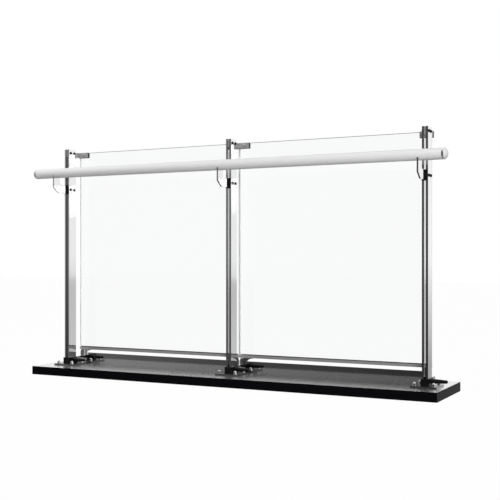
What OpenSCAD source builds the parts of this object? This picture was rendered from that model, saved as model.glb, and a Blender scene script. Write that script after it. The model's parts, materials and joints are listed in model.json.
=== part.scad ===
// Glass railing of two bays on a polished plinth.
// X runs along the railing, +Y is away from the handrail, +Z is up.
// The origin is on the underside of the plinth, below the middle post.

/* [Plinth] */
// Thickness of the plinth
plinth_t = 43; // [30:1:80]
// Plinth beyond the left post
plinth_left_end = 133; // [110:1:250]
// Plinth beyond the right post
plinth_right_end = 88; // [70:1:250]
// Plinth in front of the post line
plinth_front = 152; // [120:1:250]
// Plinth behind the post line
plinth_back = 243; // [150:1:300]

/* [Posts] */
// Distance from one post to the next
bay = 978; // [700:1:1400]
// Height of a post above the plinth
post_h = 1150; // [900:1:1300]
// Thickness of one flat bar
bar_t = 10; // [6:1:14]
// Depth of one flat bar
bar_d = 60; // [50:1:80]
// Gap between the two bars of a post
bar_gap = 8; // [6:1:12]

/* [Feet] */
// Side of the square foot plate
foot_w = 120; // [100:1:140]
// Thickness of the foot plate
foot_t = 8; // [6:1:14]
// Foot studs from the post centre
stud_pitch = 43; // [38:1:45]
// Diameter of a foot stud
stud_d = 10; // [8:1:14]
// Depth of a stud in the plinth
stud_depth = 25; // [15:1:28]

/* [Bolts] */
// Diameter of the bolts through a post
bolt_d = 8; // [6:1:10]
// Distance between the two bolts of a pair
bolt_pitch = 30; // [24:1:34]
// Diameter of a round bolt head
head_d = 14; // [12:1:17]
// Height of a bolt head
head_t = 5; // [3:1:7]
// Clearance round a shank in its hole
hole_play = 0.3; // [0.2:0.1:0.6]

/* [Glass] */
// Thickness of a pane
glass_t = 12; // [8:1:16]
// Front face of the glass behind the post line
glass_y = 82; // [70:1:110]
// Top of the glass below the top of the posts
glass_drop = 10; // [8:1:30]
// Gap between the panes at the middle post
pane_gap = 6; // [4:1:12]

/* [Glass clamps] */
// Length of a clamp jaw from the post centre
jaw_l = 56; // [46:1:70]
// Height of a clamp jaw
jaw_h = 26; // [20:1:32]
// Thickness of a clamp jaw
jaw_t = 6; // [4:1:8]
// Clamp screw from the post centre
screw_x = 32; // [24:1:38]
// Diameter of a clamp screw
screw_d = 8; // [6:1:10]
// Height of the arm between the bars at the top
arm_h = 38; // [34:1:50]
// Front of the arm behind the front of the bars
arm_recess = 6; // [2:1:8]

/* [Toe plate and rail] */
// Height of the toe plate
toe_h = 59; // [40:1:80]
// Thickness of the toe plate
toe_t = 8; // [5:1:10]
// Height of the open slot above the toe plate
slot_h = 17; // [10:1:30]
// Height of the bottom rail
rail_h = 14; // [10:1:24]
// Wall of the bottom rail
rail_wall = 4; // [2:0.5:6]
// Length of the long haunch at the left end of a slot
haunch_l = 96; // [70:1:130]
// Root of the long haunch on the toe plate
haunch_root = 40; // [30:1:50]
// Length of the short haunch at the right end of a slot
stub_l = 44; // [38:1:60]
// Root of the short haunch on the toe plate
stub_root = 28; // [20:1:34]
// Radius of the outer corner of a haunch
haunch_r = 14; // [8:1:16]

/* [Foot collars] */
// Wall of the collar round the foot of a post
collar_wall = 5; // [3:1:8]
// Height of the collar
collar_h = 32; // [26:1:40]
// Clearance between the collar and the bars
collar_play = 0.3; // [0.2:0.1:0.6]
// Reach of the side peg from the post centre
peg_reach = 95; // [80:1:120]
// Diameter of a peg at the post
peg_d = 22; // [18:1:24]
// Diameter of a peg at its tip
peg_tip_d = 15; // [12:1:18]
// Height of a peg above the plinth
peg_z = 27; // [22:1:32]

/* [Handrail] */
// Diameter of the handrail
rail_d = 50; // [42:1:60]
// Wall of the handrail tube
tube_wall = 2; // [1.5:0.5:4]
// Centre of the handrail in front of the post line
handrail_y = 118; // [105:1:140]
// Centre of the handrail below the top of the posts
handrail_drop = 135; // [110:1:220]
// Handrail beyond the left post
rail_left_end = 128; // [110:1:300]
// Handrail beyond the right post
rail_right_end = 112; // [100:1:300]
// Depth of an end cap's plug inside the tube
plug_l = 20; // [10:1:40]
// Bulge of an end cap
cap_bulge = 15; // [4:1:20]

/* [Handrail brackets] */
// Thickness of a bracket
bracket_t = 7.4; // [5:0.1:7.5]
// Height of the bracket's arm
bracket_h = 44; // [36:1:50]
// Width of the bracket's upright
upright_w = 50; // [40:1:56]
// Top of the bracket's cradle below the centre of the handrail
cradle_drop = 12; // [4:1:18]
// Centre of the bracket's arm below the centre of the handrail
bracket_drop = 80; // [70:1:110]
// Radius of the inner corner
inner_r = 14; // [6:1:20]
// Height of the cut corner
chamfer_h = 27; // [10:1:32]
// Depth of the cut corner
chamfer_d = 38; // [10:1:42]
// Height of the face plate
face_h = 48; // [44:1:60]
// Thickness of the face plate
face_t = 6; // [4:1:10]

/* [Hidden] */

steel = "#c9ccce";
black = "#1b1c1e";
$fn = 48;
eps = 1;

left_x = -bay;
middle_x = 0;
right_x = bay;
deck = plinth_t;
post_top = deck + post_h;
bar_x = bar_gap / 2;
post_half = bar_x + bar_t;
foot_top = deck + foot_t;
bolt_rows = [-bolt_pitch / 2, bolt_pitch / 2];
bolt_hole_d = bolt_d + 2 * hole_play;
screw_hole_d = screw_d + 2 * hole_play;
stud_hole_d = stud_d + 2 * hole_play;

arm_top = post_top;
arm_z = arm_top - arm_h / 2;
tube_z = post_top - handrail_drop;
bracket_mid = tube_z - bracket_drop;

glass_top = post_top - glass_drop;
glass_back = glass_y + glass_t;
glass_mid = glass_y + glass_t / 2;
jaw_z = glass_top - jaw_h / 2;
jaw_front = glass_y - jaw_t;
jaw_back = glass_back + jaw_t;
pane_in = pane_gap / 2;

collar_x = post_half + collar_play + collar_wall;
collar_y = bar_d / 2 + collar_play + collar_wall;
toe_y = glass_mid - toe_t / 2;
toe_top = deck + toe_h;
rail_bottom = toe_top + slot_h;
rail_top = rail_bottom + rail_h;
glass_bottom = rail_bottom + rail_wall;
rail_y = glass_y - rail_wall;
rail_depth = glass_t + 2 * rail_wall;

tube_from = left_x - rail_left_end;
tube_to = right_x + rail_right_end;

// Places its children at a post
module at_post(x) {
    translate([x, 0, 0]) children();
}

// A cylinder along X from one place to another
module rod_x(from, to, d) {
    translate([from, 0, 0]) rotate([0, 90, 0]) cylinder(h = to - from, d = d);
}

// A cylinder along Y from one place to another
module rod_y(from, to, d) {
    translate([0, to, 0]) rotate([90, 0, 0]) cylinder(h = to - from, d = d);
}

// Puts its children at both bolts of a pair, at one height
module bolt_pair(z) {
    for (y = bolt_rows) translate([0, y, z]) children();
}

// Puts its children at the four studs of a foot
module stud_square() {
    for (x = [-stud_pitch, stud_pitch], y = [-stud_pitch, stud_pitch])
        translate([x, y, 0]) children();
}

module plinth() {
    color("#101113") difference() {
        translate([left_x - plinth_left_end, -plinth_front, 0])
            cube([2 * bay + plinth_left_end + plinth_right_end,
                plinth_front + plinth_back, plinth_t]);
        for (x = [left_x, middle_x, right_x])
            at_post(x) stud_square()
                translate([0, 0, deck - stud_depth]) cylinder(h = stud_depth + eps, d = stud_hole_d);
    }
}

module foot_plate(x) {
    color(steel) at_post(x) difference() {
        translate([-foot_w / 2, -foot_w / 2, deck]) cube([foot_w, foot_w, foot_t]);
        stud_square()
            translate([0, 0, deck - eps]) cylinder(h = foot_t + 2 * eps, d = stud_hole_d);
    }
}

// Four dome nuts on washers, each with its stud down into the plinth
module foot_nuts(x) {
    washer_t = 2;
    nut_h = stud_d * 0.8;
    color(steel) at_post(x) stud_square() union() {
        translate([0, 0, deck - stud_depth]) cylinder(h = stud_depth + foot_t, d = stud_d);
        translate([0, 0, foot_top]) cylinder(h = washer_t, d = stud_d * 1.9);
        translate([0, 0, foot_top + washer_t]) cylinder(h = nut_h, d = stud_d * 1.75, $fn = 6);
        translate([0, 0, foot_top + washer_t + nut_h]) intersection() {
            sphere(d = stud_d * 1.4);
            cylinder(h = stud_d, d = stud_d * 2);
        }
    }
}

// One flat bar of a post; side is -1 for the left bar and 1 for the right
module post_bar(x, side) {
    color(steel) at_post(x) difference() {
        translate([side > 0 ? bar_x : -post_half, -bar_d / 2, foot_top])
            cube([bar_t, bar_d, post_top - foot_top]);
        for (z = [arm_z, bracket_mid])
            bolt_pair(z) rod_x(-post_half - eps, post_half + eps, bolt_hole_d);
    }
}

// Where the clamp jaws lie along X: 1 to the right of the post, -1 to the left
function jaw_sides(x) = x == left_x ? [1] : (x == right_x ? [-1] : [-1, 1]);

// Bolts through a post, and the screws of its clamp jaws
module post_bolts(x) {
    color(steel) at_post(x) {
        for (z = [arm_z, bracket_mid]) bolt_pair(z) union() {
            rod_x(-post_half, post_half, bolt_d);
            rod_x(post_half, post_half + head_t, head_d);
            rod_x(-post_half - head_t, -post_half, head_d);
        }
        for (side = jaw_sides(x)) translate([side * screw_x, 0, jaw_z]) union() {
            rod_y(jaw_front, jaw_back, screw_d);
            rod_y(jaw_front - head_t, jaw_front, head_d);
            rod_y(jaw_back, jaw_back + head_t, head_d);
        }
    }
}

// Arm between the bars that carries the clamp jaws behind the post
module clamp_arm(x) {
    arm_front = -bar_d / 2 + arm_recess;
    neck_y = bar_d / 2;
    color(steel) at_post(x) difference() {
        union() {
            translate([-bar_x, arm_front, arm_top - arm_h]) cube([bar_gap, bar_d - arm_recess, arm_h]);
            translate([-bar_x, neck_y, jaw_z - jaw_h / 2])
                cube([bar_gap, jaw_front - neck_y, jaw_h]);
        }
        bolt_pair(arm_z) rod_x(-post_half, post_half, bolt_hole_d);
    }
}

// Outline of a clamp jaw over the sides that hold glass, with rounded corners
module jaw_plate(x, y) {
    corner = 4;
    sides = jaw_sides(x);
    from = len(sides) == 2 || sides[0] < 0 ? -jaw_l : -bar_x;
    to = len(sides) == 2 || sides[0] > 0 ? jaw_l : bar_x;
    color(steel) at_post(x) difference() {
        translate([0, y + jaw_t, 0]) rotate([90, 0, 0]) linear_extrude(jaw_t)
            hull() for (px = [from + corner, to - corner], pz = [-1, 1])
                translate([px, jaw_z + pz * (jaw_h / 2 - corner)]) circle(r = corner);
        for (side = sides) translate([side * screw_x, 0, jaw_z])
            rod_y(y - eps, y + jaw_t + eps, screw_hole_d);
    }
}

module clamp_front(x) {
    jaw_plate(x, jaw_front);
}

module clamp_back(x) {
    jaw_plate(x, glass_back);
}

// A pane from one post to the next, drilled for its clamp screws
module glass_pane(x) {
    color([0.8, 0.92, 0.9, 0.3]) at_post(x) difference() {
        translate([pane_in, glass_y, glass_bottom])
            cube([bay - pane_gap, glass_t, glass_top - glass_bottom]);
        for (hx = [screw_x, bay - screw_x]) translate([hx, 0, jaw_z])
            rod_y(glass_y - eps, glass_back + eps, screw_hole_d);
    }
}

// Channel that the pane stands in, with rounded outer ends
module bottom_rail(x) {
    color(steel) at_post(x) difference() {
        translate([0, rail_y + rail_depth, 0]) rotate([90, 0, 0]) linear_extrude(rail_depth)
            polygon(concat(
                [[pane_in, rail_bottom], [bay - pane_in, rail_bottom]],
                [for (a = [0:15:90]) [bay - pane_in - haunch_r / 2 * (1 - cos(a)),
                    rail_top - haunch_r / 2 * (1 - sin(a))]],
                [for (a = [90:-15:0]) [pane_in + haunch_r / 2 * (1 - cos(a)),
                    rail_top - haunch_r / 2 * (1 - sin(a))]]));
        translate([-eps, glass_y, glass_bottom]) cube([bay + 2 * eps, glass_t, rail_h]);
    }
}

module toe_plate(x) {
    color(steel) at_post(x)
        translate([pane_in, toe_y, deck]) cube([bay - pane_gap, toe_t, toe_h]);
}

// Outline of a haunch: rounded outer corner, quarter ellipse along the slot
module haunch_outline(length, root) {
    sweep = length - root;
    polygon(concat(
        [[0, 0]],
        [for (a = [0:15:90]) [haunch_r * (1 - cos(a)), slot_h - haunch_r * (1 - sin(a))]],
        [[length, slot_h]],
        [for (a = [6:6:90]) [length - sweep * sin(a), slot_h * cos(a)]]));
}

// Haunches that close both ends of the slot in each bay and carry the rail
module rail_haunches() {
    color(steel) for (x = [left_x, middle_x]) {
        translate([x + pane_in, toe_y + toe_t, toe_top]) rotate([90, 0, 0])
            linear_extrude(toe_t) haunch_outline(haunch_l, haunch_root);
        translate([x + bay - pane_in, toe_y, toe_top]) rotate([90, 0, 180])
            linear_extrude(toe_t) haunch_outline(stub_l, stub_root);
    }
}

// Blocks that hold the toe plates to the back of the collars
module toe_lugs() {
    color(steel) for (x = [left_x, middle_x, right_x])
        translate([x - post_half, collar_y, foot_top])
            cube([2 * post_half, toe_y - collar_y, collar_h]);
}

// Collar round the foot of a post, with a tapered peg on its right side
module foot_collar(x) {
    inner_x = post_half + collar_play;
    inner_y = bar_d / 2 + collar_play;
    color(black) at_post(x) union() {
        difference() {
            translate([-collar_x, -collar_y, foot_top]) cube([2 * collar_x, 2 * collar_y, collar_h]);
            translate([-inner_x, -inner_y, foot_top - eps])
                cube([2 * inner_x, 2 * inner_y, collar_h + 2 * eps]);
        }
        translate([collar_x, 0, deck + peg_z]) rotate([0, 90, 0]) rotate_extrude()
            peg_outline(peg_reach - collar_x);
    }
}

// Half outline of a peg: straight root, taper and rounded tip
module peg_outline(length) {
    straight = 12;
    tip_r = peg_tip_d / 2;
    polygon(concat(
        [[0, 0], [peg_d / 2, 0], [peg_d / 2, straight]],
        [for (a = [0:10:80]) [tip_r * cos(a), length - tip_r * (1 - sin(a))]],
        [[0, length]]));
}

module handrail_tube() {
    color(steel) translate([0, -handrail_y, tube_z]) difference() {
        rod_x(tube_from, tube_to, rail_d);
        rod_x(tube_from - eps, tube_to + eps, rail_d - 2 * tube_wall);
    }
}

// Domed cap with a plug in the tube; side is -1 for the left end
module handrail_cap(side) {
    plug_d = rail_d - 2 * tube_wall - 2 * hole_play;
    dome_r = (rail_d * rail_d / 4 + cap_bulge * cap_bulge) / (2 * cap_bulge);
    end_x = side < 0 ? tube_from : tube_to;
    color(steel) translate([end_x, -handrail_y, tube_z]) rotate([0, side * 90, 0]) union() {
        translate([0, 0, -plug_l]) cylinder(h = plug_l, d = plug_d);
        intersection() {
            translate([0, 0, cap_bulge - dome_r]) sphere(r = dome_r);
            cylinder(h = cap_bulge + eps, d = rail_d);
        }
    }
}

// Side outline of a bracket in depth and height, seen from the left end
module bracket_outline() {
    back = bar_d / 2;
    front = -handrail_y - upright_w / 2;
    inner = -handrail_y + upright_w / 2;
    low = bracket_mid - bracket_h / 2;
    high = bracket_mid + bracket_h / 2;
    top = tube_z - cradle_drop;
    polygon(concat(
        [[back, low], [front + chamfer_d, low], [front, low + chamfer_h], [front, top], [inner, top]],
        [for (a = [0:10:90]) [inner + inner_r * (1 - cos(a)), high + inner_r * (1 - sin(a))]],
        [[back, high]]));
}

// Cranked bracket: bolted between the bars, cut out at its top for the tube
module handrail_bracket(x) {
    color(steel) at_post(x) difference() {
        translate([-bracket_t / 2, 0, 0]) rotate([90, 0, 90]) linear_extrude(bracket_t) bracket_outline();
        translate([0, -handrail_y, tube_z]) rod_x(-post_half, post_half, rail_d + 2 * hole_play);
        bolt_pair(bracket_mid) rod_x(-post_half, post_half, bolt_hole_d);
    }
}

// Plate on the front of the bars, slotted for the bracket's arm
module face_plate(x) {
    slot_w = bracket_t + 2 * hole_play;
    slot_z = bracket_h + 2 * hole_play;
    color(steel) at_post(x) difference() {
        translate([-post_half, -bar_d / 2 - face_t, bracket_mid - face_h / 2])
            cube([2 * post_half, face_t, face_h]);
        translate([-slot_w / 2, -bar_d / 2 - face_t - eps, bracket_mid - slot_z / 2])
            cube([slot_w, face_t + 2 * eps, slot_z]);
    }
}

plinth();
foot_plate(left_x);  // foot_plate_left
foot_plate(middle_x);  // foot_plate_middle
foot_plate(right_x);  // foot_plate_right
foot_nuts(left_x);  // foot_nuts_left
foot_nuts(middle_x);  // foot_nuts_middle
foot_nuts(right_x);  // foot_nuts_right
post_bar(left_x, -1);  // post_left_bar_a
post_bar(left_x, 1);  // post_left_bar_b
post_bar(middle_x, -1);  // post_middle_bar_a
post_bar(middle_x, 1);  // post_middle_bar_b
post_bar(right_x, -1);  // post_right_bar_a
post_bar(right_x, 1);  // post_right_bar_b
post_bolts(left_x);  // post_bolts_left
post_bolts(middle_x);  // post_bolts_middle
post_bolts(right_x);  // post_bolts_right
clamp_arm(left_x);  // clamp_arm_left
clamp_arm(middle_x);  // clamp_arm_middle
clamp_arm(right_x);  // clamp_arm_right
clamp_front(left_x);  // clamp_front_left
clamp_front(middle_x);  // clamp_front_middle
clamp_front(right_x);  // clamp_front_right
clamp_back(left_x);  // clamp_back_left
clamp_back(middle_x);  // clamp_back_middle
clamp_back(right_x);  // clamp_back_right
glass_pane(left_x);  // glass_pane_left
glass_pane(middle_x);  // glass_pane_right
bottom_rail(left_x);  // bottom_rail_left
bottom_rail(middle_x);  // bottom_rail_right
toe_plate(left_x);  // toe_plate_left
toe_plate(middle_x);  // toe_plate_right
toe_lugs();
rail_haunches();
foot_collar(left_x);  // foot_collar_left
foot_collar(middle_x);  // foot_collar_middle
foot_collar(right_x);  // foot_collar_right
handrail_tube();
handrail_cap(-1);  // handrail_cap_left
handrail_cap(1);  // handrail_cap_right
handrail_bracket(left_x);  // handrail_bracket_left
handrail_bracket(middle_x);  // handrail_bracket_middle
handrail_bracket(right_x);  // handrail_bracket_right
face_plate(left_x);  // face_plate_left
face_plate(middle_x);  // face_plate_middle
face_plate(right_x);  // face_plate_right
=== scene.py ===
"""Dresses the glass railing: finishes, button heads, gaskets, seals, end rings and the stage."""

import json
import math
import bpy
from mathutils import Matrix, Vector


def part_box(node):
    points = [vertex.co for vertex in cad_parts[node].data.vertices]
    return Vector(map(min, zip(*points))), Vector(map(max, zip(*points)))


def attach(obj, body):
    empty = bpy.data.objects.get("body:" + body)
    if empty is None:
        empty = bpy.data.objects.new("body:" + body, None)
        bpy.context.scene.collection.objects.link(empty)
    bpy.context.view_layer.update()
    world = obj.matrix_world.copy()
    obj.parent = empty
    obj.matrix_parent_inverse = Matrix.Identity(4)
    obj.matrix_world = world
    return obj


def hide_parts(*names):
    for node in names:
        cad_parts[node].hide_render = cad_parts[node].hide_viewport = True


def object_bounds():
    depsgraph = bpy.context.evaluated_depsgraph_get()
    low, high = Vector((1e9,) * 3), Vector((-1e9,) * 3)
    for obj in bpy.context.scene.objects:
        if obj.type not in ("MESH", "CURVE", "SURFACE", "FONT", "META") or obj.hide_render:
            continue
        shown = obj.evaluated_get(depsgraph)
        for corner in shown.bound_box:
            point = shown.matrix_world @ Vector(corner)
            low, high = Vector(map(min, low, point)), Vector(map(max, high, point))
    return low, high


bl_info = {
    "name": "Glass Railing",
    "version": (1, 0, 0),
    "blender": (4, 5, 0),
    "location": "3D View > Sidebar > Railing",
    "description": "Builds the finishes and small fittings of a two-bay glass railing",
    "category": "Object",
}

from functools import partial
from typing import NamedTuple

import bmesh
import bpy
from mathutils import Vector

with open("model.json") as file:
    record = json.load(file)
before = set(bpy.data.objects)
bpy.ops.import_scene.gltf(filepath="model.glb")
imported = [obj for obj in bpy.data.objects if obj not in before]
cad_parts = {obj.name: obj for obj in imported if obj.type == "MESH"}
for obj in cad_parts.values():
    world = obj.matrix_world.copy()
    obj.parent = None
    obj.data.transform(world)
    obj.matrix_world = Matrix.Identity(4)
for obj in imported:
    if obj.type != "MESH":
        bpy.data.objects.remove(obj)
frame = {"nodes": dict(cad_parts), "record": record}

NODES = frame["nodes"]
CAD_BOX = [list(corner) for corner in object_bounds()]
POSTS = ("left", "middle", "right")
BAYS = ("left", "right")
BODY = "root"

# Corners nearer than this, in metres, are one corner. Levels are rounded to as many places.
WELD = 1e-5
LEVEL_PLACES = 5

# Faces that turn less than this from each other are one flat face.
COPLANAR = math.radians(1)

# A direction counts as along an axis when its share along that axis is over this.
MOSTLY = 0.5

# Fineness of a drawn grain along X, Y and Z.
UPRIGHT_GRAIN = (900.0, 900.0, 6.0)
LENGTHWISE_GRAIN = (8.0, 900.0, 900.0)

# Outline of a button head from its seat to its top, as shares of its diameter and height.
HEAD_OUTLINE = ((0.5, 0.0), (0.5, 0.25), (0.485, 0.45), (0.44, 0.68),
                (0.37, 0.86), (0.30, 0.96), (0.26, 1.0))

# Level of a socket's floor as a share of the head's height, and its width as one of the mouth's.
SOCKET_FLOOR = 0.45
SOCKET_TAPER = 0.97

# The materials on a pane, and the share along Y of a face's normal that tells them apart.
GLASS_FACE, GROUND_EDGE, ARRIS = range(3)
FLAT = 0.99
SLOPED = 0.1

# Rounding of the rubber strips as a share of their height.
GASKET_ROUNDING = 0.3
BEAD_ROUNDING = 0.35

# The handrail's rings: how far they stand proud and how deep they start, in metres.
RING_PROUD = 0.0004
RING_SINK = 0.001
RING_SEGMENTS = 64

# Gap between the slab and the floor, in metres.
FLOOR_CLEARANCE = 0.0005

# Width of the camera's sensor, in millimetres.
SENSOR_WIDTH = 36

# A ray whose count of mirrors is over this has met one.
ONE_MIRROR = 0.5


# ---------------------------------------------------------------- settings


class RailingFinish(bpy.types.PropertyGroup):
    """Colours and gloss of the railing's materials."""

    steel_color: bpy.props.FloatVectorProperty(
        name="Polished steel", description="Colour of the bars and plates",
        subtype="COLOR", size=4, min=0, max=1, default=(0.88, 0.88, 0.88, 1))
    steel_roughness: bpy.props.FloatProperty(
        name="Steel roughness", description="Roughness of the polished steel",
        min=0, max=1, default=0.07)
    satin_color: bpy.props.FloatVectorProperty(
        name="Satin steel", description="Colour of the handrail",
        subtype="COLOR", size=4, min=0, max=1, default=(0.84, 0.84, 0.84, 1))
    satin_roughness: bpy.props.FloatProperty(
        name="Satin roughness", description="Roughness of the handrail",
        min=0, max=1, default=0.42)
    brushed_color: bpy.props.FloatVectorProperty(
        name="Brushed steel", description="Colour of the bottom rails and the clamps",
        subtype="COLOR", size=4, min=0, max=1, default=(0.60, 0.60, 0.60, 1))
    plate_color: bpy.props.FloatVectorProperty(
        name="Foot plate", description="Colour of the plates under the posts",
        subtype="COLOR", size=4, min=0, max=1, default=(0.34, 0.34, 0.34, 1))
    glass_color: bpy.props.FloatVectorProperty(
        name="Glass", description="Tint of the panes",
        subtype="COLOR", size=4, min=0, max=1, default=(0.985, 0.992, 0.99, 1))
    glass_ior: bpy.props.FloatProperty(
        name="Glass IOR", description="Index of refraction of the panes",
        min=1, max=2, default=1.38)
    edge_color: bpy.props.FloatVectorProperty(
        name="Glass edge", description="Colour of the panes' ground edges",
        subtype="COLOR", size=4, min=0, max=1, default=(0.96, 0.97, 0.965, 1))
    arris_color: bpy.props.FloatVectorProperty(
        name="Glass arris", description="Colour of the slim chamfers along a pane",
        subtype="COLOR", size=4, min=0, max=1, default=(0.16, 0.18, 0.17, 1))
    plinth_color: bpy.props.FloatVectorProperty(
        name="Plinth edge", description="Colour of the plinth's black edges",
        subtype="COLOR", size=4, min=0, max=1, default=(0.004, 0.004, 0.005, 1))
    plinth_top_color: bpy.props.FloatVectorProperty(
        name="Plinth top", description="Mirror of the plinth's top at a low glance",
        subtype="COLOR", size=4, min=0, max=1, default=(0.84, 0.84, 0.84, 1))
    plinth_top_black: bpy.props.FloatProperty(
        name="Plinth top black", description="Share of the mirror that is left seen from above",
        min=0, max=1, default=0.06)
    plinth_glance: bpy.props.FloatVectorProperty(
        name="Plinth glance", description="Facing where the top's mirror starts, and is full",
        size=2, min=0, max=1, default=(0.60, 0.85))
    plinth_edge_gloss: bpy.props.FloatProperty(
        name="Plinth edge gloss", description="Reflection level of the plinth's edges",
        min=0, max=1, default=0.03)
    plinth_top_roughness: bpy.props.FloatProperty(
        name="Plinth top roughness", description="Roughness of the plinth's top",
        min=0, max=1, default=0.22)
    black_color: bpy.props.FloatVectorProperty(
        name="Black metal", description="Colour of the collars and the bolts",
        subtype="COLOR", size=4, min=0, max=1, default=(0.006, 0.006, 0.007, 1))
    rubber_color: bpy.props.FloatVectorProperty(
        name="Rubber", description="Colour of the gaskets and seals",
        subtype="COLOR", size=4, min=0, max=1, default=(0.03, 0.03, 0.03, 1))


class RailingFittings(bpy.types.PropertyGroup):
    """Sizes of the small fittings."""

    head_segments: bpy.props.IntProperty(
        name="Head segments", description="Segments round a button head",
        min=12, max=96, default=36)
    socket_share: bpy.props.FloatProperty(
        name="Socket share", description="Hexagon socket's width as a share of the head's",
        min=0.2, max=0.7, default=0.42)
    gasket_rim: bpy.props.FloatProperty(
        name="Gasket rim", description="Gasket that shows round a clamp jaw",
        unit="LENGTH", min=0.0005, max=0.004, default=0.0015)
    gasket_thickness: bpy.props.FloatProperty(
        name="Gasket thickness", description="Thickness of a clamp gasket",
        unit="LENGTH", min=0.0005, max=0.003, default=0.0015)
    arris_width: bpy.props.FloatProperty(
        name="Arris width", description="Width of the chamfer along a pane of glass",
        unit="LENGTH", min=0.0005, max=0.003, default=0.0015)
    bead_size: bpy.props.FloatProperty(
        name="Bead size", description="Height of the glazing bead on the bottom rail",
        unit="LENGTH", min=0.001, max=0.006, default=0.003)
    ring_width: bpy.props.FloatProperty(
        name="Ring width", description="Width of the ring near a handrail end",
        unit="LENGTH", min=0.002, max=0.012, default=0.008)
    ring_inset: bpy.props.FloatProperty(
        name="Ring inset", description="From the end of the tube to its ring",
        unit="LENGTH", min=0.0, max=0.05, default=0.001)


class RailingStage(bpy.types.PropertyGroup):
    """Camera, floor and light."""

    eye: bpy.props.FloatVectorProperty(
        name="Eye", description="Where the camera stands",
        subtype="TRANSLATION", unit="LENGTH", default=(2.143, -4.034, 0.611))
    turn: bpy.props.FloatProperty(
        name="Turn", description="The camera's turn to the left of straight on",
        subtype="ANGLE", default=math.radians(26.84))
    lens: bpy.props.FloatProperty(
        name="Lens", description="Focal length in millimetres on a 36 mm sensor",
        min=20, max=200, default=67.2)
    rise: bpy.props.FloatProperty(
        name="Rise", description="Vertical shift of the lens",
        min=-0.1, max=0.1, default=0.017)
    floor_size: bpy.props.FloatProperty(
        name="Floor size", description="Side of the floor",
        unit="LENGTH", min=5, max=100, default=40)
    floor_color: bpy.props.FloatVectorProperty(
        name="Floor", description="Colour of the floor",
        subtype="COLOR", size=4, min=0, max=1, default=(0.35, 0.35, 0.35, 1))
    floor_roughness: bpy.props.FloatProperty(
        name="Floor roughness", description="Roughness of the floor",
        min=0, max=1, default=0.9)
    floor_white: bpy.props.FloatProperty(
        name="Floor white", description="Share of plain white in the floor that the viewer sees",
        subtype="FACTOR", min=0, max=1, default=0.985)
    floor_dimming: bpy.props.FloatProperty(
        name="Floor dimming", description="How much of that white a mirror leaves out",
        subtype="FACTOR", min=0, max=1, default=0.45)
    ambient: bpy.props.FloatProperty(
        name="Ambient", description="Even light on dull surfaces",
        min=0, max=1, default=0.24)
    mirror_high: bpy.props.FloatProperty(
        name="Mirrored sky", description="Light that mirrors show above the horizon",
        min=0, max=1, default=0.97)
    mirror_low: bpy.props.FloatProperty(
        name="Mirrored ground", description="Light that mirrors show below the horizon",
        min=0, max=1, default=0.4)
    mirror_dip: bpy.props.FloatProperty(
        name="Mirrored dip", description="How far below the horizon mirrors have fallen off",
        min=-1, max=0, default=-0.11)
    mirror_behind: bpy.props.FloatProperty(
        name="Mirrored behind", description="Light that mirrors show straight behind the viewer",
        min=0, max=1, default=0.02)
    key_place: bpy.props.FloatVectorProperty(
        name="Key lamp place", description="Where the lamp over the viewer's right hangs",
        subtype="TRANSLATION", unit="LENGTH", default=(3.2, -4.4, 1.9))
    key_size: bpy.props.FloatProperty(
        name="Key lamp size", description="Side of the lamp over the viewer's right",
        unit="LENGTH", min=0.1, max=5, default=1.6)
    key_power: bpy.props.FloatProperty(
        name="Key lamp power", description="Power of the lamp over the viewer's right",
        unit="POWER", min=0, max=1000, default=190)
    fill_place: bpy.props.FloatVectorProperty(
        name="Fill lamp place", description="Where the lamp on the left hangs",
        subtype="TRANSLATION", unit="LENGTH", default=(-2.6, -1.2, 3.4))
    fill_size: bpy.props.FloatProperty(
        name="Fill lamp size", description="Side of the lamp on the left",
        unit="LENGTH", min=0.1, max=5, default=1.2)
    fill_power: bpy.props.FloatProperty(
        name="Fill lamp power", description="Power of the lamp on the left",
        unit="POWER", min=0, max=1000, default=60)


# ---------------------------------------------------------------- node helpers


def feed(socket, value):
    """Links a socket to another one, or sets it to a plain value."""
    if isinstance(value, bpy.types.NodeSocket):
        socket.id_data.links.new(value, socket)
    else:
        socket.default_value = value


def add_node(tree, kind, x, y, inputs=None, **settings):
    """A new node at x, y in the tree, with its settings and what feeds its inputs."""
    node = tree.nodes.new(kind)
    node.location = (x, y)
    for name, value in settings.items():
        setattr(node, name, value)
    for key, value in (inputs or {}).items():
        feed(node.inputs[key], value)
    return node


def add_math(tree, operation, x, y, *values, clamp=False):
    """A math node on sockets or numbers, and its result."""
    node = add_node(tree, "ShaderNodeMath", x, y, operation=operation, use_clamp=clamp)
    for socket, value in zip(node.inputs, values):
        feed(socket, value)
    return node.outputs[0]


def socket_named(sockets, identifier):
    """The socket with an identifier, among several that share a name."""
    return next(socket for socket in sockets if socket.identifier == identifier)


def shader_group(name, inputs, outputs):
    """A new shader node group with named value inputs and outputs, and its two end nodes."""
    group = bpy.data.node_groups.new(name, "ShaderNodeTree")
    for label, default in inputs.items():
        kind = "NodeSocketVector" if isinstance(default, tuple) else "NodeSocketFloat"
        socket = group.interface.new_socket(name=label, in_out="INPUT", socket_type=kind)
        socket.default_value = default
    for label in outputs:
        group.interface.new_socket(name=label, in_out="OUTPUT", socket_type="NodeSocketFloat")
    start = add_node(group, "NodeGroupInput", -900, 0)
    end = add_node(group, "NodeGroupOutput", 600, 0)
    return group, start, end


# ---------------------------------------------------------------- finishes


class Grain(NamedTuple):
    """A surface grain: its fineness, the gloss and its variation, and the relief in metres."""

    scale: tuple
    roughness: float
    variation: float
    bump: float
    depth: float


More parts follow.
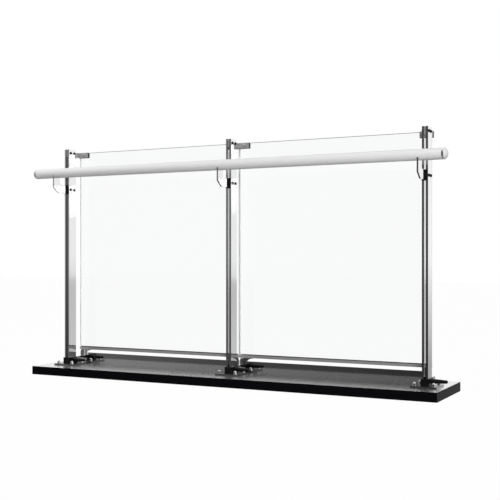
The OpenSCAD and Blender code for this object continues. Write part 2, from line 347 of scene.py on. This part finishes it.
def grain_group():
    """Fine grain drawn out along one axis: a roughness and a height that vary over the surface."""
    name = "brushed_grain"
    if name in bpy.data.node_groups:
        return bpy.data.node_groups[name]
    inputs = {"Scale": (400.0, 400.0, 4.0), "Roughness": 0.2, "Variation": 0.1}
    group, start, end = shader_group(name, inputs, ("Roughness", "Height"))
    place = add_node(group, "ShaderNodeTexCoord", -900, 300).outputs["Object"]
    stretch = add_node(group, "ShaderNodeVectorMath", -700, 200,
                       {0: place, 1: start.outputs["Scale"]}, operation="MULTIPLY")
    lines = add_node(group, "ShaderNodeTexNoise", -500, 200,
                     {"Vector": stretch.outputs[0], "Scale": 1.0, "Detail": 3.0, "Roughness": 0.6})
    cloud = add_node(group, "ShaderNodeTexNoise", -500, -100,
                     {"Vector": place, "Scale": 5.0, "Detail": 2.0})
    both = add_math(group, "ADD", -250, 0, lines.outputs["Fac"], cloud.outputs["Fac"])
    centred = add_math(group, "SUBTRACT", -80, 0, both, 1.0)
    scaled = add_math(group, "MULTIPLY", 100, 0, centred, start.outputs["Variation"])
    total = add_math(group, "ADD", 300, 0, scaled, start.outputs["Roughness"], clamp=True)
    feed(end.inputs["Roughness"], total)
    feed(end.inputs["Height"], lines.outputs["Fac"])
    return group


def plain_material(name):
    """A new material with its Principled shader, and its node tree."""
    material = bpy.data.materials.new(name + "_finish")
    material.use_nodes = True
    tree = material.node_tree
    return material, tree, tree.nodes["Principled BSDF"]


def finish_named(name):
    """The finish that was made under a name."""
    return bpy.data.materials[name + "_finish"]


def add_grain(tree, shader, grain):
    """Feeds a shader's roughness and normal from the grain group, and returns the roughness."""
    group = add_node(tree, "ShaderNodeGroup", -500, -100, {
        "Scale": grain.scale,
        "Roughness": grain.roughness,
        "Variation": grain.variation,
    }, node_tree=grain_group())
    relief = add_node(tree, "ShaderNodeBump", -250, -200, {
        "Height": group.outputs["Height"],
        "Strength": grain.bump,
        "Distance": grain.depth,
    })
    feed(shader.inputs["Roughness"], group.outputs["Roughness"])
    feed(shader.inputs["Normal"], relief.outputs["Normal"])
    return group.outputs["Roughness"]


def grained_finish(name, color, grain, metallic=0.0, specular=0.5):
    """A finish of one colour with a grain."""
    material, tree, shader = plain_material(name)
    feed(shader.inputs["Base Color"], color)
    feed(shader.inputs["Metallic"], metallic)
    feed(shader.inputs["Specular IOR Level"], specular)
    add_grain(tree, shader, grain)
    return material


def polished_steel(finish):
    """Polished stainless with a faint grain up and down."""
    grain = Grain(UPRIGHT_GRAIN, finish.steel_roughness, variation=0.05, bump=0.05, depth=0.0002)
    return grained_finish("polished_steel", finish.steel_color, grain, metallic=1.0)


def satin_steel(finish):
    """Pale satin stainless with a grain along the handrail."""
    grain = Grain(
        LENGTHWISE_GRAIN, finish.satin_roughness, variation=0.12, bump=0.12, depth=0.0003)
    return grained_finish("satin_steel", finish.satin_color, grain, metallic=0.1)


def brushed_steel(finish):
    """Darker brushed stainless for the bottom rails, the arms and the clamps."""
    grain = Grain(LENGTHWISE_GRAIN, finish.satin_roughness, variation=0.1, bump=0.1, depth=0.0003)
    return grained_finish("brushed_steel", finish.brushed_color, grain, metallic=0.6)


def dull_plate(finish):
    """Dull dark stainless for the plates under the posts."""
    grain = Grain((300.0,) * 3, roughness=0.34, variation=0.12, bump=0.1, depth=0.0003)
    return grained_finish("dull_plate", finish.plate_color, grain, metallic=1.0)


def fastener_steel(finish):
    """Bright machined steel for nuts and button heads."""
    grain = Grain((500.0,) * 3, roughness=0.16, variation=0.08, bump=0.06, depth=0.0002)
    return grained_finish("fastener_steel", finish.steel_color, grain, metallic=1.0)


def black_metal(finish):
    """Black-coated metal with a fine even texture. On the face plates its black is painted shade
    for their dark front.
    """
    grain = Grain((900.0,) * 3, roughness=0.35, variation=0.1, bump=0.1, depth=0.0002)
    return grained_finish("black_metal", finish.black_color, grain, specular=0.3)


def rubber(finish):
    """Dull black rubber."""
    grain = Grain((700.0,) * 3, roughness=0.6, variation=0.15, bump=0.3, depth=0.0003)
    return grained_finish("rubber_gasket", finish.rubber_color, grain)


def ground_glass(name, color):
    """Ground glass on the edges of a pane."""
    grain = Grain((600.0,) * 3, roughness=0.5, variation=0.1, bump=0.1, depth=0.0002)
    return grained_finish(name, color, grain)


def clear_glass(finish):
    """Clear toughened glass."""
    material, _, shader = plain_material("clear_glass")
    feed(shader.inputs["Base Color"], finish.glass_color)
    feed(shader.inputs["Roughness"], 0.0)
    feed(shader.inputs["IOR"], finish.glass_ior)
    feed(shader.inputs["Transmission Weight"], 1.0)
    return material


def plinth_gloss(finish):
    """Gloss black slab whose polished top turns to a mirror at a low glance."""
    material, tree, shader = plain_material("plinth_gloss")
    facing = add_node(tree, "ShaderNodeNewGeometry", -900, 200)
    parts = add_node(tree, "ShaderNodeSeparateXYZ", -700, 200, {0: facing.outputs["True Normal"]})
    is_top = add_math(tree, "GREATER_THAN", -500, 200, parts.outputs["Z"], MOSTLY)
    glance = add_node(tree, "ShaderNodeLayerWeight", -900, 0, {"Blend": 0.5})
    polish = add_node(tree, "ShaderNodeMapRange", -700, 0, {
        "Value": glance.outputs["Facing"],
        "From Min": finish.plinth_glance[0],
        "From Max": finish.plinth_glance[1],
        "To Min": finish.plinth_top_black,
        "To Max": 1.0,
    })
    share = add_math(tree, "MULTIPLY", -480, 0, is_top, polish.outputs[0])
    paint = add_node(tree, "ShaderNodeMix", -280, 250, {"Factor": share}, data_type="RGBA")
    feed(socket_named(paint.inputs, "A_Color"), finish.plinth_color)
    feed(socket_named(paint.inputs, "B_Color"), finish.plinth_top_color)
    feed(shader.inputs["Base Color"], socket_named(paint.outputs, "Result_Color"))
    feed(shader.inputs["Metallic"], is_top)
    feed(shader.inputs["Specular IOR Level"], finish.plinth_edge_gloss)
    grain = Grain((60.0,) * 3, roughness=0.06, variation=0.04, bump=0.01, depth=0.0001)
    edge_roughness = add_grain(tree, shader, grain)
    softened = add_math(
        tree, "MULTIPLY_ADD", -280, 0, is_top, finish.plinth_top_roughness, edge_roughness)
    feed(shader.inputs["Roughness"], softened)
    return material


# ---------------------------------------------------------------- mesh helpers


def new_piece(name, mesh_maker, material):
    """A named object on the railing, from a function that fills a bmesh."""
    mesh = bpy.data.meshes.new(name)
    piece = bpy.data.objects.new(name, mesh)
    bpy.context.scene.collection.objects.link(piece)
    bm = bmesh.new()
    mesh_maker(bm)
    bmesh.ops.recalc_face_normals(bm, faces=bm.faces)
    bm.to_mesh(mesh)
    bm.free()
    mesh.materials.append(material)
    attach(piece, BODY)
    return piece


def smooth_by_angle(piece, degrees=35):
    """Smooth shading with edges kept sharp past an angle."""
    mesh = piece.data
    mesh.polygons.foreach_set("use_smooth", [True] * len(mesh.polygons))
    bm = bmesh.new()
    bm.from_mesh(mesh)
    limit = math.radians(degrees)
    for edge in bm.edges:
        edge.smooth = len(edge.link_faces) == 2 and edge.calc_face_angle(0) < limit
    bm.to_mesh(mesh)
    bm.free()


def add_rings(bm, rings):
    """Joins closed rings of points into a skin, and caps both ends."""
    loops = [[bm.verts.new(point) for point in ring] for ring in rings]
    for lower, upper in zip(loops, loops[1:]):
        count = len(lower)
        for i in range(count):
            j = (i + 1) % count
            bm.faces.new((lower[i], lower[j], upper[j], upper[i]))
    bm.faces.new(list(reversed(loops[0])))
    bm.faces.new(loops[-1])


def rounded_box_rings(low, high, round_by, steps=3):
    """Rings along X of a box whose long edges are rounded."""
    rings = []
    for x in (low.x, high.x):
        ring = []
        for corner, (sy, sz) in enumerate(((1, 1), (-1, 1), (-1, -1), (1, -1))):
            cy = (high.y - round_by) if sy > 0 else (low.y + round_by)
            cz = (high.z - round_by) if sz > 0 else (low.z + round_by)
            for step in range(steps + 1):
                angle = math.radians(90 * (corner + step / steps))
                ring.append((x, cy + round_by * math.cos(angle), cz + round_by * math.sin(angle)))
        rings.append(ring)
    return rings


def on_rim(line, low, high):
    """True for an edge that runs along the top or the bottom of a pane."""
    a, b = (vert.co for vert in line.verts)
    if abs(a.y - b.y) > WELD:
        return False
    return any(abs(a.z - side) < WELD and abs(b.z - side) < WELD for side in (low.z, high.z))


def cut_pane(bm, source, low, high, arris_width):
    """A welded copy of a pane, chamfered along top and bottom, with its ground faces marked."""
    corners = [bm.verts.new(vert.co) for vert in source.vertices]
    for polygon in source.polygons:
        bm.faces.new([corners[i] for i in polygon.vertices])
    bmesh.ops.remove_doubles(bm, verts=bm.verts, dist=WELD)
    bmesh.ops.dissolve_limit(bm, angle_limit=COPLANAR, verts=bm.verts, edges=bm.edges)
    rim = [line for line in bm.edges if on_rim(line, low, high)]
    bmesh.ops.bevel(bm, geom=rim, offset=arris_width, segments=1, affect="EDGES")
    bm.normal_update()
    for face in bm.faces:
        slope = abs(face.normal.y)
        if slope > FLAT:
            face.material_index = GLASS_FACE
        elif slope > SLOPED:
            face.material_index = ARRIS
        else:
            face.material_index = GROUND_EDGE


def rubber_rim(bm, low, high, rim):
    """Four rubber strips round a box's outline in X and Z."""
    for x0, x1, z0, z1 in (
        (low.x - rim, high.x + rim, high.z, high.z + rim),
        (low.x - rim, high.x + rim, low.z - rim, low.z),
        (low.x - rim, low.x, low.z, high.z),
        (high.x, high.x + rim, low.z, high.z),
    ):
        strip = rounded_box_rings(
            Vector((x0, low.y, z0)), Vector((x1, high.y, z1)), rim * GASKET_ROUNDING)
        add_rings(bm, strip)


def bead_pair(bm, start, end, seat, fronts, size):
    """A slim bead in front of the glass and one behind it, from start to end along X."""
    for front in fronts:
        low = Vector((start, front, seat))
        high = Vector((end, front + size, seat + size))
        add_rings(bm, rounded_box_rings(low, high, size * BEAD_ROUNDING))


def ring_band(bm, centre, radius, near, far):
    """A slim band round the handrail, from near to far along X."""
    inner = radius - RING_SINK
    outer = radius + RING_PROUD
    profile = ((inner, near), (outer, near), (outer, far), (inner, far))
    loops = []
    for i in range(RING_SEGMENTS):
        angle = 2 * math.pi * i / RING_SEGMENTS
        y, z = math.cos(angle), math.sin(angle)
        loops.append([bm.verts.new((x, centre.y + r * y, centre.z + r * z)) for r, x in profile])
    for i in range(RING_SEGMENTS):
        here, there = loops[i], loops[(i + 1) % RING_SEGMENTS]
        for j in range(len(profile)):
            k = (j + 1) % len(profile)
            bm.faces.new((here[j], here[k], there[k], there[j]))


# ---------------------------------------------------------------- button heads


def head_template(segments, socket_share):
    """A button head of unit diameter and unit height, with a hexagon socket in its top."""
    apothem = socket_share / 2
    bm = bmesh.new()

    def ring(radius_at, z):
        points = []
        for i in range(segments):
            angle = 2 * math.pi * i / segments
            radius = radius_at(angle)
            points.append((radius * math.cos(angle), radius * math.sin(angle), z))
        return points

    def hexagon(angle):
        part = math.radians(60)
        return apothem / math.cos((angle + part / 2) % part - part / 2)

    rings = [ring(lambda angle, r=r: r, z) for r, z in HEAD_OUTLINE]
    rings.append(ring(hexagon, 1.0))
    rings.append(ring(lambda angle: hexagon(angle) * SOCKET_TAPER, SOCKET_FLOOR))
    add_rings(bm, rings)
    bmesh.ops.recalc_face_normals(bm, faces=bm.faces)
    mesh = bpy.data.meshes.new("button_head")
    bm.to_mesh(mesh)
    bm.free()
    template = bpy.data.objects.new("button_head", mesh)
    bpy.context.scene.collection.objects.link(template)
    smooth_by_angle(template)
    return template


def head_tree(template):
    """Geometry Nodes that put a button head on every point, turned to face outwards."""
    tree = bpy.data.node_groups.new("button_heads", "GeometryNodeTree")
    ends = tree.interface
    ends.new_socket(name="Geometry", in_out="INPUT", socket_type="NodeSocketGeometry")
    diameter = ends.new_socket(name="Diameter", in_out="INPUT", socket_type="NodeSocketFloat")
    height = ends.new_socket(name="Height", in_out="INPUT", socket_type="NodeSocketFloat")
    ends.new_socket(name="Geometry", in_out="OUTPUT", socket_type="NodeSocketGeometry")
    start = add_node(tree, "NodeGroupInput", -800, 0)
    end = add_node(tree, "NodeGroupOutput", 600, 0)
    head = add_node(tree, "GeometryNodeObjectInfo", -600, -200, {"Object": template})
    outward = add_node(tree, "GeometryNodeInputNamedAttribute", -600, 200,
                       {"Name": "outward"}, data_type="FLOAT_VECTOR")
    turn = add_node(tree, "FunctionNodeAlignRotationToVector", -300, 200,
                    {"Vector": outward.outputs["Attribute"]}, axis="Z")
    size = add_node(tree, "ShaderNodeCombineXYZ", -300, -350, {
        "X": start.outputs["Diameter"],
        "Y": start.outputs["Diameter"],
        "Z": start.outputs["Height"],
    })
    place = add_node(tree, "GeometryNodeInstanceOnPoints", 0, 0, {
        "Points": start.outputs["Geometry"],
        "Instance": head.outputs["Geometry"],
        "Rotation": turn.outputs["Rotation"],
        "Scale": size.outputs["Vector"],
    })
    real = add_node(tree, "GeometryNodeRealizeInstances", 300, 0,
                    {"Geometry": place.outputs["Instances"]})
    feed(end.inputs["Geometry"], real.outputs["Geometry"])
    return tree, (diameter.identifier, height.identifier)


def heads_of(node_name):
    """Seats and outward directions of the heads on one node of bolts, with their size.

    The node's loose solids are grouped by their shared corners. Each solid is a bolt with a
    head at both ends of its longest side."""
    mesh = NODES[node_name].data
    bm = bmesh.new()
    bm.from_mesh(mesh)
    bmesh.ops.remove_doubles(bm, verts=bm.verts, dist=WELD)
    seen = set()
    seats = []
    for vert in bm.verts:
        if vert.index in seen:
            continue
        stack, group = [vert], []
        seen.add(vert.index)
        while stack:
            current = stack.pop()
            group.append(current.co.copy())
            for edge in current.link_edges:
                other = edge.other_vert(current)
                if other.index not in seen:
                    seen.add(other.index)
                    stack.append(other)
        seats += bolt_ends(group)
    bm.free()
    return seats


def bolt_ends(points):
    """The two heads of one bolt, from its points: (seat, outward direction, diameter, height)."""
    low = Vector([min(p[i] for p in points) for i in range(3)])
    high = Vector([max(p[i] for p in points) for i in range(3)])
    spans = high - low
    axis = max(range(3), key=lambda i: spans[i])
    middle = (low + high) / 2
    diameter = min(spans[i] for i in range(3) if i != axis)
    levels = sorted({round(p[axis], LEVEL_PLACES) for p in points})
    heads = []
    for tip, seat, sign in ((levels[-1], levels[-2], 1), (levels[0], levels[1], -1)):
        place = middle.copy()
        place[axis] = seat
        outward = Vector((0, 0, 0))
        outward[axis] = sign
        heads.append((place, outward, diameter, abs(tip - seat)))
    return heads


def add_heads(name, seats, tree, sockets, material_name):
    """One piece of button heads on the given seats."""
    points = bpy.data.meshes.new("seats")
    points.from_pydata([seat[0] for seat in seats], [], [])
    outward = points.attributes.new("outward", "FLOAT_VECTOR", "POINT")
    outward.data.foreach_set("vector", [value for seat in seats for value in seat[1]])
    carrier = bpy.data.objects.new("carrier", points)
    bpy.context.scene.collection.objects.link(carrier)
    modifier = carrier.modifiers.new("heads", "NODES")
    modifier.node_group = tree
    for socket, value in zip(sockets, seats[0][2:]):
        modifier[socket] = value
    evaluated = carrier.evaluated_get(bpy.context.evaluated_depsgraph_get())
    mesh = bpy.data.meshes.new_from_object(evaluated)
    mesh.materials.clear()
    mesh.materials.append(finish_named(material_name))
    piece = bpy.data.objects.new(name, mesh)
    bpy.context.scene.collection.objects.link(piece)
    bpy.data.objects.remove(carrier)
    bpy.data.meshes.remove(points)
    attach(piece, BODY)
    return piece


def add_button_heads(fittings):
    """Black heads across each post and steel ones on its clamp, in place of the plain bolts."""
    template = head_template(fittings.head_segments, fittings.socket_share)
    tree, sockets = head_tree(template)
    for post in POSTS:
        node = "post_bolts_" + post
        seats = heads_of(node)
        across = [seat for seat in seats if abs(seat[1].x) > MOSTLY]
        through = [seat for seat in seats if abs(seat[1].y) > MOSTLY]
        bolts = add_heads("bolt_heads_" + post, across, tree, sockets, "black_metal")
        add_heads("clamp_screws_" + post, through, tree, sockets, "fastener_steel")
        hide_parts(node)
    bpy.data.objects.remove(template)
    bpy.data.node_groups.remove(tree)


# ---------------------------------------------------------------- operators


class RAILING_OT_finishes(bpy.types.Operator):
    """Give every carried-over part its finish"""

    bl_idname = "railing.finishes"
    bl_label = "Apply Finishes"

    def execute(self, context):
        finish = context.scene.railing_finish
        makers = {
            "polished_steel": polished_steel,
            "satin_steel": satin_steel,
            "fastener_steel": fastener_steel,
            "black_metal": black_metal,
            "clear_glass": clear_glass,
            "black_gloss": plinth_gloss,
        }
        materials = {slot: maker(finish) for slot, maker in makers.items()}
        brushed = brushed_steel(finish)
        special = {
            "bottom_rail": brushed,
            "clamp_arm": brushed,
            "clamp_front": brushed,
            "clamp_back": brushed,
            "foot_plate": dull_plate(finish),
            # painted shade: the face plates take the near-black finish, which stands for the shade
            # on their front
            "face_plate": materials["black_metal"],
        }
        slot_of = {part["node"]: part["material_slot"] for part in frame["record"]["subparts"]}
        for name, node in NODES.items():
            family = name.rpartition("_")[0]
            for place in node.material_slots:
                place.material = special.get(family, materials[slot_of[name]])
        return {"FINISHED"}


class RAILING_OT_button_heads(bpy.types.Operator):
    """Put socketed button heads on the post bolts and clamp screws"""

    bl_idname = "railing.button_heads"
    bl_label = "Add Button Heads"

    def execute(self, context):
        add_button_heads(context.scene.railing_fittings)
        return {"FINISHED"}


class RAILING_OT_glass_edges(bpy.types.Operator):
    """Chamfer the panes along top and bottom and grind their edges"""

    bl_idname = "railing.glass_edges"
    bl_label = "Grind Glass Edges"

    def execute(self, context):
        finish = context.scene.railing_finish
        width = context.scene.railing_fittings.arris_width
        edge = ground_glass("glass_edge", finish.edge_color)
        arris = ground_glass("glass_arris", finish.arris_color)
        for bay in BAYS:
            node = "glass_pane_" + bay
            low, high = (Vector(corner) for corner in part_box(node))
            source = NODES[node].data
            maker = partial(cut_pane, source=source, low=low, high=high, arris_width=width)
            glass = finish_named("clear_glass")
            pane = new_piece("ground_pane_" + bay, maker, glass)
            pane.data.materials.append(edge)
            pane.data.materials.append(arris)
            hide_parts(node)
        return {"FINISHED"}


class RAILING_OT_gaskets(bpy.types.Operator):
    """Add the rubber rims that show round the clamp jaws"""

    bl_idname = "railing.gaskets"
    bl_label = "Add Clamp Gaskets"

    def execute(self, context):
        fittings = context.scene.railing_fittings
        thick = fittings.gasket_thickness
        material = rubber(context.scene.railing_finish)
        for post in POSTS:
            for side in ("front", "back"):
                low, high = (Vector(corner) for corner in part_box(f"clamp_{side}_{post}"))
                if side == "front":
                    low.y = high.y - thick
                else:
                    high.y = low.y + thick
                maker = partial(rubber_rim, low=low, high=high, rim=fittings.gasket_rim)
                new_piece(f"gasket_{side}_{post}", maker, material)
        return {"FINISHED"}


class RAILING_OT_glazing_beads(bpy.types.Operator):
    """Lay a slim rubber bead on both lips of each bottom rail"""

    bl_idname = "railing.glazing_beads"
    bl_label = "Add Glazing Beads"

    def execute(self, context):
        size = context.scene.railing_fittings.bead_size
        material = finish_named("rubber_gasket")
        for bay in BAYS:
            rail_low, rail_high = (Vector(corner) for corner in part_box("bottom_rail_" + bay))
            glass_low, glass_high = (Vector(corner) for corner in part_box("glass_pane_" + bay))
            inset = (rail_high.z - rail_low.z) / 2
            fronts = (glass_low.y - size, glass_high.y)
            maker = partial(bead_pair, start=rail_low.x + inset, end=rail_high.x - inset,
                            seat=rail_high.z, fronts=fronts, size=size)
            new_piece("glazing_bead_" + bay, maker, material)
        return {"FINISHED"}


class RAILING_OT_end_rings(bpy.types.Operator):
    """Add the polished ring at each end of the handrail"""

    bl_idname = "railing.end_rings"
    bl_label = "Add Handrail Rings"

    def execute(self, context):
        fittings = context.scene.railing_fittings
        material = finish_named("polished_steel")
        low, high = (Vector(corner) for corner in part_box("handrail_tube"))
        centre = (low + high) / 2
        radius = (high.z - low.z) / 2
        for end, start, sign in (("left", low.x, 1), ("right", high.x, -1)):
            near = start + sign * fittings.ring_inset
            far = near + sign * fittings.ring_width
            maker = partial(ring_band, centre=centre, radius=radius, near=near, far=far)
            new_piece("handrail_ring_" + end, maker, material)
        return {"FINISHED"}


class RAILING_OT_stage(bpy.types.Operator):
    """Set up the floor, the light and the camera"""

    bl_idname = "railing.stage"
    bl_label = "Set the Stage"

    def execute(self, context):
        stage = context.scene.railing_stage
        scene = context.scene
        scene.view_settings.view_transform = "Standard"
        add_floor(stage)
        light_world(scene, stage)
        add_lamps(stage)
        add_camera(scene, stage)
        return {"FINISHED"}


def add_floor(stage):
    """A wide floor that the viewer sees white with a soft shadow, dimmer inside mirrors."""
    half = stage.floor_size / 2
    z = CAD_BOX[0][2] - FLOOR_CLEARANCE
    mesh = bpy.data.meshes.new("floor")
    mesh.from_pydata([(-half, -half, z), (half, -half, z), (half, half, z), (-half, half, z)],
                     [], [(0, 1, 2, 3)])
    floor = bpy.data.objects.new("floor", mesh)
    bpy.context.scene.collection.objects.link(floor)
    material, tree, shader = plain_material("pale_floor")
    feed(shader.inputs["Base Color"], stage.floor_color)
    feed(shader.inputs["Roughness"], stage.floor_roughness)
    feed(shader.inputs["Specular IOR Level"], 0.0)
    glow = add_node(tree, "ShaderNodeEmission", 0, -300, {"Color": (1, 1, 1, 1)})
    ray = add_node(tree, "ShaderNodeLightPath", -500, -300).outputs
    seen = add_math(tree, "MAXIMUM", -250, -300, ray["Is Camera Ray"], ray["Is Transmission Ray"])
    white = add_math(tree, "MULTIPLY", -50, -500, seen, stage.floor_white)
    mirrored = add_math(tree, "GREATER_THAN", -300, -700, ray["Glossy Depth"], ONE_MIRROR)
    kept = add_math(tree, "MULTIPLY_ADD", -100, -700, mirrored, -stage.floor_dimming, 1.0)
    share = add_math(tree, "MULTIPLY", 100, -500, white, kept)
    mix = add_node(tree, "ShaderNodeMixShader", 300, 0,
                   {0: share, 1: shader.outputs[0], 2: glow.outputs[0]})
    feed(tree.nodes["Material Output"].inputs["Surface"], mix.outputs[0])
    mesh.materials.append(material)
    floor.visible_glossy = False


def light_world(scene, stage):
    """White to the eye, even on dull surfaces, and in mirrors darker low down and behind."""
    world = bpy.data.worlds.new("studio")
    scene.world = world
    world.use_nodes = True
    tree = world.node_tree
    tree.nodes.clear()
    place = add_node(tree, "ShaderNodeTexCoord", -1200, 0)
    parts = add_node(tree, "ShaderNodeSeparateXYZ", -1000, 0, {0: place.outputs["Generated"]})
    ahead = add_math(
        tree, "ADD", -800, 150, parts.outputs["Y"], 1 + stage.mirror_behind, clamp=True)
    rise = add_node(tree, "ShaderNodeMapRange", -800, -100, {
        "Value": parts.outputs["Z"],
        "From Min": stage.mirror_dip,
        "From Max": 0.0,
        "To Min": stage.mirror_low,
        "To Max": stage.mirror_high,
    })
    gloss = add_math(tree, "MULTIPLY", -550, 50, ahead, rise.outputs[0])
    ray = add_node(tree, "ShaderNodeLightPath", -800, -400).outputs
    direct = add_math(tree, "LESS_THAN", -600, -600, ray["Glossy Depth"], ONE_MIRROR)
    through = add_math(tree, "MULTIPLY", -400, -600, ray["Is Transmission Ray"], direct)
    white = add_math(tree, "MAXIMUM", -200, -350, ray["Is Camera Ray"], through)
    mirrored = add_math(
        tree, "MAXIMUM", -550, -250, ray["Is Glossy Ray"], ray["Is Transmission Ray"])
    by_gloss = add_node(tree, "ShaderNodeMix", -300, 0,
                        {"Factor": mirrored, "A": stage.ambient, "B": gloss}, data_type="FLOAT")
    by_eye = add_node(tree, "ShaderNodeMix", -100, 0,
                      {"Factor": white, "A": by_gloss.outputs["Result"], "B": 1.0},
                      data_type="FLOAT")
    sky = add_node(tree, "ShaderNodeBackground", 150, 0,
                   {"Color": (1, 1, 1, 1), "Strength": by_eye.outputs["Result"]})
    add_node(tree, "ShaderNodeOutputWorld", 400, 0, {"Surface": sky.outputs[0]})


def add_lamp(name, place, target, size, power):
    """A soft square lamp aimed at a point, which leaves no glare on polished faces."""
    light = bpy.data.lights.new(name, "AREA")
    light.shape = "SQUARE"
    light.size = size
    light.energy = power
    lamp = bpy.data.objects.new(name, light)
    lamp.location = place
    aim = Vector(target) - Vector(place)
    lamp.rotation_euler = aim.to_track_quat("-Z", "Y").to_euler()
    lamp.visible_glossy = False
    bpy.context.scene.collection.objects.link(lamp)


def add_lamps(stage):
    """A key lamp over the viewer's right and a weak fill from the left."""
    target = (0, 0, CAD_BOX[1][2] / 2)
    add_lamp("key", stage.key_place, target, stage.key_size, stage.key_power)
    add_lamp("fill", stage.fill_place, target, stage.fill_size, stage.fill_power)


def add_camera(scene, stage):
    """The viewer's camera, level, with a small rise of the lens."""
    data = bpy.data.cameras.new("camera")
    data.sensor_width = SENSOR_WIDTH
    data.lens = stage.lens
    data.shift_y = stage.rise
    camera = bpy.data.objects.new("camera", data)
    camera.location = stage.eye
    camera.rotation_euler = (math.radians(90), 0, stage.turn)
    scene.collection.objects.link(camera)
    scene.camera = camera


# ---------------------------------------------------------------- panel and start


STEPS = (
    RAILING_OT_finishes,
    RAILING_OT_button_heads,
    RAILING_OT_glass_edges,
    RAILING_OT_gaskets,
    RAILING_OT_glazing_beads,
    RAILING_OT_end_rings,
    RAILING_OT_stage,
)


class RAILING_PT_panel(bpy.types.Panel):
    """The railing's steps and settings"""

    bl_idname = "RAILING_PT_panel"
    bl_label = "Glass Railing"
    bl_space_type = "VIEW_3D"
    bl_region_type = "UI"
    bl_category = "Railing"

    def draw(self, context):
        layout = self.layout
        for step in STEPS:
            layout.operator(step.bl_idname)
        for group in ("railing_finish", "railing_fittings", "railing_stage"):
            settings = getattr(context.scene, group)
            for name in settings.bl_rna.properties.keys():
                if name not in {"rna_type", "name"}:
                    layout.prop(settings, name)


CLASSES = (RailingFinish, RailingFittings, RailingStage, *STEPS, RAILING_PT_panel)


def register():
    for cls in CLASSES:
        bpy.utils.register_class(cls)
    bpy.types.Scene.railing_finish = bpy.props.PointerProperty(type=RailingFinish)
    bpy.types.Scene.railing_fittings = bpy.props.PointerProperty(type=RailingFittings)
    bpy.types.Scene.railing_stage = bpy.props.PointerProperty(type=RailingStage)


def unregister():
    del bpy.types.Scene.railing_stage
    del bpy.types.Scene.railing_fittings
    del bpy.types.Scene.railing_finish
    for cls in reversed(CLASSES):
        bpy.utils.unregister_class(cls)


def main():
    register()
    bpy.ops.railing.finishes()
    bpy.ops.railing.button_heads()
    bpy.ops.railing.glass_edges()
    bpy.ops.railing.gaskets()
    bpy.ops.railing.glazing_beads()
    bpy.ops.railing.end_rings()
    bpy.ops.railing.stage()


if __name__ == "__main__":
    main()
